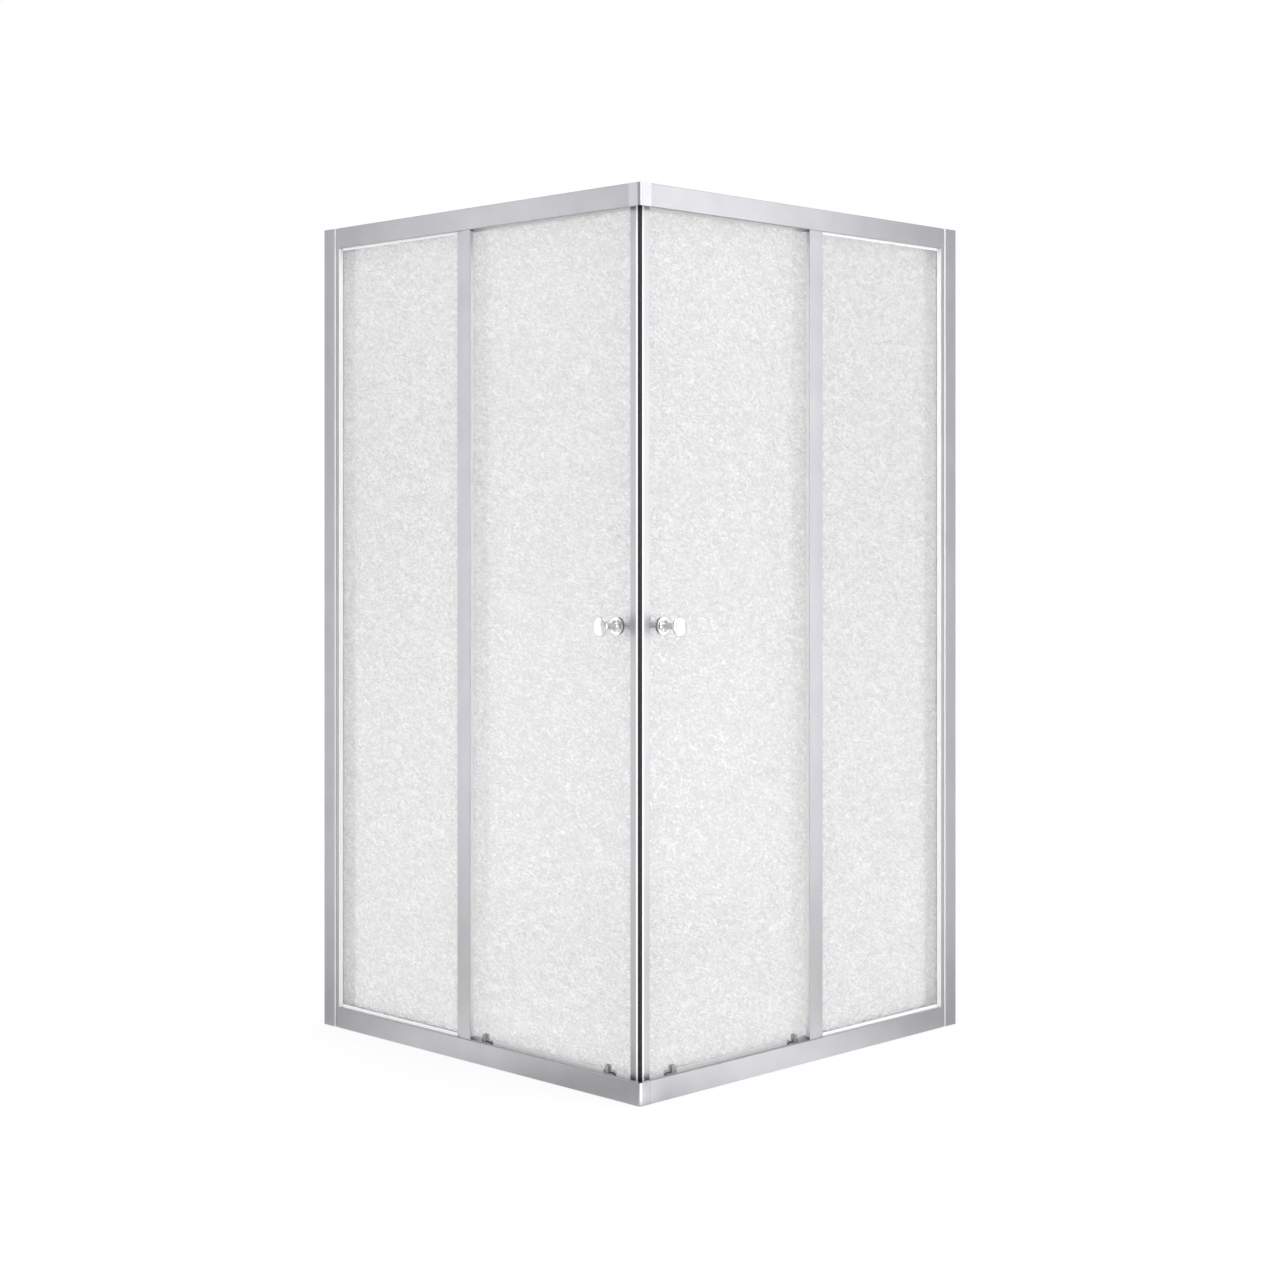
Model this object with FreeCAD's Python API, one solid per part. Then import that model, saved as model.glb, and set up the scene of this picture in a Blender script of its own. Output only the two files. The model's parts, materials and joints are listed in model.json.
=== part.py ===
import FreeCAD, Part
import math
import os

# Corner shower enclosure: two glazed sides meet at a right angle, each with a fixed pane by the wall
# and a sliding door by the corner. Lengths are in millimetres, +Z is up and the origin is under the
# middle of the whole enclosure, on the floor.
#
# A place on a side is given by three lengths: s runs along the side from the outer corner to the wall,
# d runs inwards from the outer face of the rails, and z is the height above the floor. The left side
# is modelled, and the right side is its mirror image in the upright plane through the corner.

# Overall sizes
side_length = 900.0
cabin_height = 1600.0

# Clearances
joint_gap = 0.3
screw_gap = 0.3
thread_gap = 0.05
axle_gap = 0.05
sliding_gap = 2.0
overrun = 5.0
match_gap = 0.01

# Extruded profiles
profile_wall = 1.5
edge_radius = 0.5

# Rails, the same extrusion at the bottom and, upside down, at the top
rail_depth = 48.0
rail_height = 40.0
rail_lip_depth = 8.0
rail_lip_return = 5.0
rail_rib_height = 24.0
rail_track_height = 36.0
rail_edge_radius = 0.8
track_width = 10.0
track_bead_width = 2.0
track_bead_height = 3.5
track_bead_inset = 7.5
port_radius = 3.1
port_rise = 4.6
port_neck = 3.0
port_side_gap = 1.1

# Corner joints
corner_arm = 28.0
corner_wall = 2.0
corner_radius = 6.0
tongue_length = 32.0
tongue_height = 20.0
corner_screw_place = 16.0
corner_screw_rise = 12.0

# Wall profiles and jambs
wall_profile_width = 33.0
wall_hole_radius = 3.25
wall_hole_end = 80.0
wall_hole_count = 4
jamb_show = 12.0
jamb_length = 35.0
jamb_side_gap = 0.5
jamb_pocket = 13.0
jamb_screw_end = 120.0
jamb_screw_count = 3
jamb_screw_inset = 8.0
jamb_return = 6.0

# Mid posts
post_place = 454.0
post_lip = 17.0
post_box_width = 10.0
post_flange = 12.0
post_recess = 3.0
post_depth = 17.0
post_seal_width = 8.0
post_seal_base = 1.2
post_seal_fin = 1.2
post_seal_place = 0.5

# Panes and their gaskets
glass_thickness = 5.0
gasket_wall = 1.0
gasket_inner_wall = 1.5
gasket_base = 2.0
fixed_glass_end = 6.0
door_glass_end = 9.0

# Door stiles
stile_depth = 12.0
stile_outer_seal = 2.5
front_stile_web = 38.0
front_stile_nose = 6.0
front_stile_leg = 8.0
front_stile_inner_leg = 12.0
rear_stile_leg = 14.0
rear_stile_setback = 1.0
stile_seal_leg = 6.5
stile_seal_base = 1.0

# Magnet seals, mitred on the diagonal between the doors
magnet_clearance = 0.2
magnet_thickness = 3.7
magnet_depth = 10.0
carrier_wall = 1.1

# Knobs
knob_place = 83.5
knob_height = 828.0
outer_knob_reach = 45.0
inner_knob_reach = 30.0
knob_radius = 17.5
knob_rim = 6.0
knob_dome = 1.2
knob_back_slope = 1.0
knob_neck_radius = 6.0
knob_base_radius = 15.5
knob_base_rim = 1.6
knob_flare = 6.0
flare_share = 0.3
knob_hole_radius = 6.0
knob_bush_radius = 5.7
knob_bush_length = 2.2
washer_thickness = 0.8
washer_radius = 12.5
stud_radius = 3.0
stud_depth = 18.0

# Rollers and what holds them
lead_roller_inset = 69.5
trail_roller_inset = 50.5
roller_width = 5.5
roller_flange = 1.2
roller_flange_rise = 2.0
top_roller_radius = 9.5
bottom_roller_radius = 7.5
top_axle_radius = 3.0
bottom_axle_radius = 2.5
axle_head_rise = 1.3
axle_head_length = 1.4
axle_shoulder = 2.0
roller_side_gap = 0.4
roller_flange_radius = 9.0
roller_flange_length = 2.0
roller_shank_radius = 4.0
glass_bore_radius = 5.0
cap_radius = 9.0
cap_thickness = 5.0
cap_skin = 1.6
cap_chamfer = 1.0

# Housings of the bottom rollers, with their release plungers and springs
release_travel = 5.5
housing_front = 24.0
housing_back = 10.0
housing_depth = 6.4
housing_foot = 4.0
housing_top = 38.0
housing_floor = 1.5
housing_slope = 7.0
housing_boss_place = 14.0
housing_boss_height = 25.0
plunger_width = 10.0
plunger_neck_width = 6.8
plunger_back_gap = 1.5
plunger_back_depth = 2.5
plunger_neck_depth = 2.2
plunger_show = 12.0
plunger_top_radius = 1.2
plunger_gap = 0.2
spring_radius = 1.9
spring_wire_radius = 0.3
spring_turns = 6
spring_pressed_height = 6.0
spring_end_gap = 0.05
peg_radius = 1.2
peg_length = 2.0

# Rubber door stops in the rails
stop_length = 18.0
stop_height = 26.0
stop_depth = 11.4
stop_end_gap = 4.7

# Pan head screws of the frame
screw_radius = 2.0
screw_length = 9.0
screw_head_radius = 3.5
screw_head_height = 2.2
screw_head_edge = 0.8

# Places across the side, from the outer face of the rails inwards
fixed_glass_face = rail_lip_depth + gasket_wall
fixed_glass_back = fixed_glass_face + glass_thickness
rib_face = fixed_glass_back + gasket_inner_wall
rib_back = rib_face + profile_wall
pocket_outer_face = fixed_glass_face - gasket_base
pocket_inner_face = fixed_glass_back + gasket_base
post_back = post_recess + post_depth
stile_face = post_back + sliding_gap
stile_back = stile_face + stile_depth
door_glass_face = stile_face + profile_wall + stile_outer_seal
door_glass_back = door_glass_face + glass_thickness
stile_seal_face = stile_face + profile_wall
stile_seal_back = stile_back - profile_wall
track_middle = rail_depth - track_bead_inset
roller_face = track_middle - roller_width / 2
roller_back = track_middle + roller_width / 2
housing_face = door_glass_back + housing_depth
cap_face = door_glass_face - cap_thickness
port_depths = (rib_back + port_side_gap + port_radius, track_middle)
stop_face = port_depths[0] + port_radius + joint_gap

# Places along the side, from the outer corner to the wall
jamb_start = side_length - wall_profile_width - jamb_show
jamb_pocket_end = jamb_start + jamb_pocket
post_box_start = post_place + post_lip
post_pocket_start = post_box_start + post_box_width
post_end = post_pocket_start + post_flange
fixed_glass_start = post_pocket_start + gasket_base
fixed_glass_stop = jamb_pocket_end - gasket_base
rear_stile_end = post_end - rear_stile_setback
rear_stile_web = rear_stile_end - profile_wall
door_glass_start = front_stile_web + profile_wall + stile_seal_base
door_glass_stop = rear_stile_web - stile_seal_base
roller_places = (door_glass_start + lead_roller_inset, door_glass_stop - trail_roller_inset)
stop_end = jamb_start - stop_end_gap
stop_start = stop_end - stop_length
door_travel = stop_start - joint_gap - rear_stile_end
jamb_screw_s = side_length - wall_profile_width + jamb_screw_inset

# Places of the magnet strip, where the first two are distances along the side from the diagonal
magnet_front = magnet_clearance * math.sqrt(2)
magnet_back = (magnet_clearance + magnet_thickness) * math.sqrt(2)
magnet_end = stile_face + magnet_depth

# Heights above the floor
door_low = door_glass_end
door_high = cabin_height - door_glass_end
spring_floor = housing_foot + housing_floor
plunger_foot = spring_floor + spring_pressed_height + release_travel
plunger_top = housing_top + plunger_show
jamb_screw_pitch = (cabin_height - 2 * jamb_screw_end) / (jamb_screw_count - 1)
jamb_screw_heights = [jamb_screw_end + index * jamb_screw_pitch for index in range(jamb_screw_count)]

# Heights above the web of a rail, which are heights above the floor on the bottom rail
bead_tip = rail_track_height - profile_wall - track_bead_height
top_axle_rise = bead_tip - joint_gap - top_roller_radius
bottom_axle_rise = bead_tip - joint_gap - bottom_roller_radius
bottom_head_radius = bottom_axle_radius + axle_head_rise

# How far the knobs stand out past the rails sets the middle of the enclosure
knob_overhang = outer_knob_reach - door_glass_face
corner = (side_length - knob_overhang) / 2


def place(s, d, z):
    return FreeCAD.Vector(corner - s, d - corner, z)


def block(s_from, s_to, d_from, d_to, z_from, z_to):
    return Part.makeBox(s_to - s_from, d_to - d_from, z_to - z_from, place(s_to, d_from, z_from))


def upright(outline, z_from, z_to):
    points = [place(s, d, z_from) for s, d in outline]
    face = Part.Face(Part.makePolygon(points + points[:1]))
    return face.extrude(FreeCAD.Vector(0, 0, z_to - z_from))


def rod_inwards(s, z, radius, d_from, d_to):
    return Part.makeCylinder(radius, d_to - d_from, place(s, d_from, z), FreeCAD.Vector(0, 1, 0))


def rod_along(d, z, radius, s_from, s_to):
    return Part.makeCylinder(radius, s_to - s_from, place(s_to, d, z), FreeCAD.Vector(1, 0, 0))


def join(pieces):
    return pieces[0].multiFuse(pieces[1:]).removeSplitter()


def mirrored(shape):
    return shape.mirror(FreeCAD.Vector(0, 0, 0), FreeCAD.Vector(1, 1, 0))


def flipped(shape):
    return shape.mirror(FreeCAD.Vector(0, 0, cabin_height / 2), FreeCAD.Vector(0, 0, 1))


# Rounds the straight edges that keep to one of the given places, with None for a length that varies
def rounded(shape, radius, places):
    chosen = []
    for edge in shape.Edges:
        ends = [vertex.Point for vertex in edge.Vertexes]
        for s, d, z in places:
            wanted = place(s or 0, d or 0, z or 0)
            checks = [(s, "x"), (d, "y"), (z, "z")]
            fits = [abs(getattr(end, axis) - getattr(wanted, axis)) < match_gap
                    for end in ends for length, axis in checks if length is not None]
            if len(ends) == 2 and all(fits):
                chosen.append(edge)
                break
    return shape.makeFillet(radius, chosen)


def write_node(name, shapes):
    solids = [solid for shape in shapes for solid in shape.Solids]
    whole = solids[0] if len(solids) == 1 else Part.makeCompound(solids)
    whole.exportStep("parts/" + name + ".step")


def write_pair(name, shapes):
    write_node("left_" + name, shapes)
    write_node("right_" + name, [mirrored(shape) for shape in shapes])


def both_sides(shapes):
    return shapes + [mirrored(shape) for shape in shapes]


def both_ends(shape):
    return [shape, flipped(shape)]


# One pan head screw, given by the place under its head and the way that its point faces
def screw(seat, way):
    shank = Part.makeCylinder(screw_radius, screw_length, seat, way)
    head = Part.makeCylinder(screw_head_radius, screw_head_height, seat, way * -1)
    crown = max(head.Edges, key=lambda edge: edge.CenterOfMass.dot(way * -1))
    head = head.makeFillet(screw_head_edge, [crown])
    return join([shank, head])


def wall_profile():
    start = side_length - wall_profile_width
    outer = block(start, side_length, 0, rail_depth, 0, cabin_height)
    inner = block(start - overrun, side_length - profile_wall, profile_wall,
                  rail_depth - profile_wall, -overrun, cabin_height + overrun)
    channel = outer.cut(inner)
    edges = [(start, 0, None), (start, rail_depth, None)]
    channel = rounded(channel, edge_radius, edges)
    holes = []
    pitch = (cabin_height - 2 * wall_hole_end) / (wall_hole_count - 1)
    for index in range(wall_hole_count):
        height = wall_hole_end + index * pitch
        holes.append(rod_along(rail_depth / 2, height, wall_hole_radius,
                               side_length - profile_wall - overrun, side_length + overrun))
    holes += [rod_inwards(jamb_screw_s, height, screw_radius + screw_gap,
                          rail_depth - profile_wall - overrun, rail_depth + overrun)
              for height in jamb_screw_heights]
    return channel.cut(holes)


def jamb():
    face = profile_wall + jamb_side_gap
    back = rail_depth - profile_wall - jamb_side_gap
    end = jamb_start + jamb_length
    pocket_back = jamb_pocket_end + profile_wall
    walls = [
        (jamb_start, end, face, face + profile_wall),
        (jamb_start, end, back - profile_wall, back),
        (jamb_start, jamb_start + profile_wall, face, pocket_outer_face),
        (jamb_start, jamb_start + profile_wall, pocket_inner_face, back),
        (jamb_start, pocket_back, pocket_outer_face - profile_wall, pocket_outer_face),
        (jamb_start, pocket_back, pocket_inner_face, pocket_inner_face + profile_wall),
        (jamb_pocket_end, pocket_back, pocket_outer_face - profile_wall,
         pocket_inner_face + profile_wall),
        (end - profile_wall, end, face, face + jamb_return),
        (end - profile_wall, end, back - jamb_return, back),
    ]
    body = join([block(*wall, 0, cabin_height) for wall in walls])
    body = rounded(body, edge_radius, [(jamb_start, face, None), (jamb_start, back, None)])
    holes = []
    for depth in port_depths:
        for height in (port_rise, cabin_height - port_rise):
            holes.append(rod_along(depth, height, screw_radius + screw_gap,
                                   jamb_start - overrun, jamb_start + profile_wall + overrun))
    for height in jamb_screw_heights:
        holes.append(rod_inwards(jamb_screw_s, height, screw_radius + thread_gap,
                                 back - profile_wall - overrun, back + overrun))
    return body.cut(holes)


# The glass of the fixed pane runs into the pockets of both rails, the post and the jamb
def fixed_glass():
    return block(fixed_glass_start, fixed_glass_stop, fixed_glass_face, fixed_glass_back,
                 fixed_glass_end, cabin_height - fixed_glass_end)


def fixed_gasket():
    upright_walls = (pocket_outer_face, pocket_inner_face)
    rail_walls = (rail_lip_depth, rib_face)
    strips = [
        block(post_pocket_start, post_end, *upright_walls, rail_height, cabin_height - rail_height),
        block(jamb_start, jamb_pocket_end, *upright_walls, profile_wall, cabin_height - profile_wall),
        block(post_pocket_start, jamb_start, *rail_walls, profile_wall, rail_height),
        block(post_pocket_start, jamb_start, *rail_walls, cabin_height - rail_height,
              cabin_height - profile_wall),
    ]
    window = block(post_end, jamb_start, pocket_outer_face - overrun, pocket_inner_face + overrun,
                   rail_height, cabin_height - rail_height)
    return join(strips).cut([fixed_glass(), window])


# A slim box with a pocket for the fixed pane, and a thin lip that covers the edge of the door glass
def post():
    low = rail_height
    high = cabin_height - rail_height
    outer = block(post_box_start, post_pocket_start, post_recess, post_back, low, high)
    hollow = block(post_box_start + profile_wall, post_pocket_start - profile_wall,
                   post_recess + profile_wall, post_back - profile_wall, low - overrun, high + overrun)
    root = post_pocket_start - profile_wall
    walls = [
        (post_place, post_box_start, post_recess, post_recess + profile_wall),
        (root, post_end, pocket_outer_face - profile_wall, pocket_outer_face),
        (root, post_end, pocket_inner_face, pocket_inner_face + profile_wall),
    ]
    body = join([outer.cut(hollow)] + [block(*wall, low, high) for wall in walls])
    edges = [(post_place, post_recess, None), (post_place, post_recess + profile_wall, None),
             (post_box_start, post_back, None), (post_pocket_start, post_recess, None)]
    return rounded(body, edge_radius, edges)


# A fin on the back of the post closes the gap to the door glass
def post_seal():
    start = post_box_start + post_seal_place
    end = start + post_seal_width
    middle = (start + end - post_seal_fin) / 2
    tip = door_glass_face - joint_gap
    low = rail_height
    high = cabin_height - rail_height
    base = block(start, end, post_back, post_back + post_seal_base, low, high)
    fin = block(middle, middle + post_seal_fin, post_back, tip, low, high)
    return join([base, fin])


# Cuts away what lies past the diagonal, so that the two sides meet in a mitre
def past_diagonal(z_from, z_to):
    reach = rail_depth + overrun
    outline = [(corner_arm, corner_arm), (corner_arm, reach), (reach, reach)]
    return upright(outline, z_from - overrun, z_to + overrun)


def rail():
    lip_low = rail_height - profile_wall
    track_low = rail_track_height - profile_wall
    track_start = rail_depth - track_width
    bead_start = track_middle - track_bead_width / 2
    walls = [
        (0, rail_depth, 0, profile_wall),
        (0, profile_wall, 0, rail_height),
        (0, rail_lip_depth, lip_low, rail_height),
        (rail_lip_depth - profile_wall, rail_lip_depth, rail_height - rail_lip_return, rail_height),
        (rib_face, rib_back, 0, rail_rib_height),
        (rail_depth - profile_wall, rail_depth, 0, rail_track_height),
        (track_start, rail_depth, track_low, rail_track_height),
        (bead_start, bead_start + track_bead_width, bead_tip, rail_track_height),
    ]
    walls += [(depth - port_neck / 2, depth + port_neck / 2, 0, port_rise) for depth in port_depths]
    body = [block(corner_arm, jamb_start, *wall) for wall in walls]
    body += [rod_along(depth, port_rise, port_radius, corner_arm, jamb_start) for depth in port_depths]
    ports = [rod_along(depth, port_rise, screw_radius + thread_gap, corner_arm - overrun,
                       jamb_start + overrun) for depth in port_depths]
    corner_hole = rod_inwards(corner_arm + corner_screw_place, corner_screw_rise,
                              screw_radius + screw_gap, rib_face - overrun, rib_back + overrun)
    solid = join(body).cut(ports + [past_diagonal(0, rail_height), corner_hole])
    edges = [(None, 0, 0), (None, 0, rail_height), (None, rail_depth, 0),
             (None, rail_depth, rail_track_height)]
    return rounded(solid, rail_edge_radius, edges)


# The corner joint closes the corner between the rails and plugs into both of them
def corner_joint():
    shell = block(0, corner_arm, 0, corner_arm, 0, rail_height)
    shell = rounded(shell, corner_radius, [(0, 0, None)])
    hollow = block(corner_wall, corner_arm + overrun, corner_wall, corner_arm + overrun,
                   profile_wall, rail_height - profile_wall)
    hollow = rounded(hollow, corner_radius - corner_wall, [(corner_wall, corner_wall, None)])
    mouth = block(rail_lip_depth, corner_arm + overrun, rail_lip_depth, corner_arm + overrun,
                  rail_height / 2, rail_height + overrun)
    tongue_start = profile_wall + joint_gap
    tongue_end = rib_face - joint_gap
    lip_return = (rail_lip_depth - profile_wall, corner_arm, rail_lip_depth - profile_wall,
                  rail_lip_depth, rail_height - rail_lip_return, rail_height)
    root = (corner_wall / 2, corner_arm, corner_wall / 2, tongue_end, profile_wall / 2, tongue_height)
    tongue = (corner_arm / 2, corner_arm + tongue_length, tongue_start, tongue_end,
              profile_wall + joint_gap, tongue_height)
    arm = join([block(*lip_return), block(*root), block(*tongue)])
    arm = arm.cut(rod_inwards(corner_arm + corner_screw_place, corner_screw_rise,
                              screw_radius + thread_gap, -overrun, tongue_end + overrun))
    body = join([shell.cut([hollow, mouth]), arm, mirrored(arm)])
    outside = rounded(block(0, corner_arm * 2 + tongue_length, 0, corner_arm * 2 + tongue_length, 0,
                            rail_height), corner_radius, [(0, 0, None)])
    return body.common(outside)


def frame_screws():
    one_side = []
    for depth in port_depths:
        seat = place(jamb_start + profile_wall, depth, port_rise)
        one_side += both_ends(screw(seat, FreeCAD.Vector(1, 0, 0)))
    seat = place(corner_arm + corner_screw_place, rib_back, corner_screw_rise)
    one_side += both_ends(screw(seat, FreeCAD.Vector(0, -1, 0)))
    for height in jamb_screw_heights:
        seat = place(jamb_screw_s, rail_depth, height)
        one_side.append(screw(seat, FreeCAD.Vector(0, -1, 0)))
    return both_sides(one_side)


def door_stops():
    stop = block(stop_start, stop_end, stop_face, stop_face + stop_depth,
                 profile_wall, stop_height)
    return both_sides(both_ends(stop))


def door_glass():
    pane = block(door_glass_start, door_glass_stop, door_glass_face, door_glass_back,
                 door_low, door_high)
    bores = [rod_inwards(knob_place, knob_height, knob_hole_radius,
                         door_glass_face - overrun, door_glass_back + overrun)]
    for s in roller_places:
        for spot in (top_cap_spot(s), bottom_cap_spot(s)):
            bores.append(rod_inwards(*spot, glass_bore_radius, door_glass_face - overrun,
                                     door_glass_back + overrun))
    return pane.cut(bores)


def top_cap_spot(s):
    return (s, cabin_height - top_axle_rise)


def bottom_cap_spot(s):
    return (s - housing_boss_place, housing_boss_height)


def front_stile():
    web_end = front_stile_web + profile_wall
    walls = [
        (front_stile_web, web_end, stile_face, stile_back),
        (front_stile_web - front_stile_nose, front_stile_web + front_stile_leg,
         stile_face, stile_face + profile_wall),
        (front_stile_web, front_stile_web + front_stile_inner_leg,
         stile_back - profile_wall, stile_back),
    ]
    body = join([block(*wall, door_low, door_high) for wall in walls])
    edges = [(front_stile_web + front_stile_leg, stile_face, None),
             (front_stile_web, stile_back, None),
             (front_stile_web + front_stile_inner_leg, stile_back, None)]
    return rounded(body, edge_radius, edges)


def rear_stile():
    leg_start = rear_stile_end - rear_stile_leg
    walls = [
        (rear_stile_web, rear_stile_end, stile_face, stile_back),
        (leg_start, rear_stile_end, stile_face, stile_face + profile_wall),
        (leg_start, rear_stile_end, stile_back - profile_wall, stile_back),
    ]
    body = join([block(*wall, door_low, door_high) for wall in walls])
    edges = [(rear_stile_end, stile_face, None), (rear_stile_end, stile_back, None),
             (leg_start, stile_face, None), (leg_start, stile_back, None)]
    return rounded(body, edge_radius, edges)


def door_glass_seals():
    start = front_stile_web + profile_wall
    front = block(start, start + stile_seal_leg, stile_seal_face, stile_seal_back,
                  door_low, door_high)
    rear = block(rear_stile_web - stile_seal_leg, rear_stile_web, stile_seal_face, stile_seal_back,
                 door_low, door_high)
    pane = block(door_glass_start, door_glass_stop, door_glass_face, door_glass_back,
                 door_low - overrun, door_high + overrun)
    return [front.cut(pane), rear.cut(pane)]


def magnet_strip():
    outline = [
        (stile_face + magnet_front, stile_face),
        (stile_face + magnet_back, stile_face),
        (magnet_end + magnet_back, magnet_end),
        (magnet_end + magnet_front, magnet_end),
    ]
    return upright(outline, door_low, door_high)


def magnet_carrier():
    nose = front_stile_web - front_stile_nose
    outline = [
        (stile_face + magnet_back, stile_face),
        (nose, stile_face),
        (nose, stile_seal_face),
        (front_stile_web, stile_seal_face),
        (front_stile_web, magnet_end),
        (magnet_end + magnet_back, magnet_end),
    ]
    # The chamber is a triangle that keeps one wall thickness from the faces round it
    chamber_face = stile_seal_face + carrier_wall
    chamber_end = front_stile_web - carrier_wall
    slope = magnet_back + carrier_wall * math.sqrt(2)
    chamber = [
        (chamber_face + slope, chamber_face),
        (chamber_end, chamber_face),
        (chamber_end, chamber_end - slope),
    ]
    body = upright(outline, door_low, door_high)
    return body.cut(upright(chamber, door_low - overrun, door_high + overrun))


# One knob, turned about its axis. Its outline is given by the distance from the glass and the radius
def knob(face, way, knob_reach):
    rim = knob_rim / 2
    rim_front = knob_reach - knob_dome
    rim_back = rim_front - knob_rim
    crown = knob_radius - rim
    ball = (crown ** 2 + knob_dome ** 2) / (2 * knob_dome)
    dome_middle = knob_reach - ball + math.sqrt(ball ** 2 - (crown / 2) ** 2)
    flare_end = knob_base_rim + knob_flare
    flare_step = knob_base_radius - knob_neck_radius

    def at(distance, radius):
        return FreeCAD.Vector(corner - knob_place + radius, face - corner + way * distance, knob_height)

    def line(start, end):
        return Part.makeLine(at(*start), at(*end))

    def arc(start, middle, end):
        return Part.Arc(at(*start), at(*middle), at(*end)).toShape()

    edges = [
        line((washer_thickness, 0), (washer_thickness, knob_base_radius)),
        line((washer_thickness, knob_base_radius), (knob_base_rim, knob_base_radius)),
        arc((knob_base_rim, knob_base_radius),
            (knob_base_rim + knob_flare * flare_share, knob_neck_radius + flare_step * flare_share),
            (flare_end, knob_neck_radius)),
        line((flare_end, knob_neck_radius), (rim_back - knob_back_slope, knob_neck_radius)),
        line((rim_back - knob_back_slope, knob_neck_radius), (rim_back, crown)),
        arc((rim_back, crown), (rim_back + rim, knob_radius), (rim_front, crown)),
        arc((rim_front, crown), (dome_middle, crown / 2), (knob_reach, 0)),
        line((knob_reach, 0), (washer_thickness, 0)),
    ]
    half = Part.Face(Part.Wire(edges))
    body = half.revolve(at(0, 0), FreeCAD.Vector(0, 1, 0), 360)
    hole_end = face + way * (stud_depth + joint_gap)
    hole = rod_inwards(knob_place, knob_height, stud_radius + thread_gap,
                       min(face, hole_end), max(face, hole_end))
    return body.cut(hole)


def knob_stud():
    return rod_inwards(knob_place, knob_height, stud_radius,
                       door_glass_face - stud_depth, door_glass_back + stud_depth)


def knob_washers():
    bore = rod_inwards(knob_place, knob_height, stud_radius + thread_gap,
                       door_glass_face - overrun, door_glass_back + overrun)
    outer = join([
        rod_inwards(knob_place, knob_height, washer_radius,
                    door_glass_face - washer_thickness, door_glass_face),
        rod_inwards(knob_place, knob_height, knob_bush_radius,
                    door_glass_face - washer_thickness, door_glass_face + knob_bush_length),
    ])
    inner = join([
        rod_inwards(knob_place, knob_height, washer_radius,
                    door_glass_back, door_glass_back + washer_thickness),
        rod_inwards(knob_place, knob_height, knob_bush_radius,
                    door_glass_back - knob_bush_length, door_glass_back + washer_thickness),
    ])
    return [outer.cut(bore), inner.cut(bore)]


# A cap nut on the outer face of the door glass
def roller_cap(s, z):
    cap = rod_inwards(s, z, cap_radius, cap_face, door_glass_face)
    rim = min(cap.Edges, key=lambda edge: edge.CenterOfMass.y)
    cap = cap.makeChamfer(cap_chamfer, [rim])
    return cap.cut(rod_inwards(s, z, roller_shank_radius + thread_gap,
                               cap_face + cap_skin, door_glass_face + overrun))


def roller_shank(s, z):
    return rod_inwards(s, z, roller_shank_radius, cap_face + cap_skin + joint_gap, door_glass_back)


def top_axle(s):
    z = cabin_height - top_axle_rise
    flange_end = door_glass_back + roller_flange_length
    pin_start = roller_face - roller_side_gap
    pin_end = roller_back + roller_side_gap
    return join([
        roller_shank(s, z),
        rod_inwards(s, z, roller_flange_radius, door_glass_back, flange_end),
        rod_inwards(s, z, top_axle_radius + axle_shoulder, flange_end, pin_start),
        rod_inwards(s, z, top_axle_radius, pin_start, pin_end),
        rod_inwards(s, z, top_axle_radius + axle_head_rise, pin_end, pin_end + axle_head_length),
    ])


def roller(s, z, radius, bore):
    rim = radius + roller_flange_rise
    body = join([
        rod_inwards(s, z, radius, roller_face, roller_back),
        rod_inwards(s, z, rim, roller_face, roller_face + roller_flange),
        rod_inwards(s, z, rim, roller_back - roller_flange, roller_back),
    ])
    return body.cut(rod_inwards(s, z, bore, roller_face - overrun, roller_back + overrun))


# The slot of the housing and the plunger in it have the same stepped section, one larger by the gap
def stepped_section(s, gap, z_from, z_to, back_end):
    start = door_glass_back + plunger_back_gap
    step = start + plunger_back_depth
    wide = plunger_width / 2 + gap
    narrow = plunger_neck_width / 2 + gap
    return join([
        block(s - wide, s + wide, start - gap, step + gap, z_from, z_to),
        block(s - narrow, s + narrow, step, back_end, z_from, z_to),
    ])


def bottom_housing(s):
    body = block(s - housing_front, s + housing_back, door_glass_back, housing_face,
                 housing_foot, housing_top)
    slope = [edge for edge in body.Edges
             if all(abs(vertex.Point.x - place(s - housing_front, 0, 0).x) < match_gap
                    and abs(vertex.Point.z - housing_top) < match_gap for vertex in edge.Vertexes)]
    body = body.makeChamfer(housing_slope, slope)
    slot = stepped_section(s, plunger_gap, spring_floor, housing_top + overrun, housing_face + overrun)
    return join([body.cut(slot), roller_shank(*bottom_cap_spot(s))])


def spring_depth():
    start = door_glass_back + plunger_back_gap
    return start + (plunger_back_depth + plunger_neck_depth) / 2


def release_plunger(s):
    start = door_glass_back + plunger_back_gap
    back = start + plunger_back_depth + plunger_neck_depth
    body = stepped_section(s, 0, plunger_foot, plunger_top, back)
    crown = [edge for edge in body.Edges
             if all(abs(vertex.Point.z - plunger_top) < match_gap for vertex in edge.Vertexes)]
    body = body.makeFillet(plunger_top_radius, crown)
    pin_end = roller_back + roller_side_gap
    peg = Part.makeCylinder(peg_radius, peg_length, place(s, spring_depth(), plunger_foot - peg_length))
    return join([
        body,
        peg,
        rod_inwards(s, bottom_axle_rise, bottom_axle_radius, start + plunger_back_depth, pin_end),
        rod_inwards(s, bottom_axle_rise, bottom_head_radius, pin_end, pin_end + axle_head_length),
    ])


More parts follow.
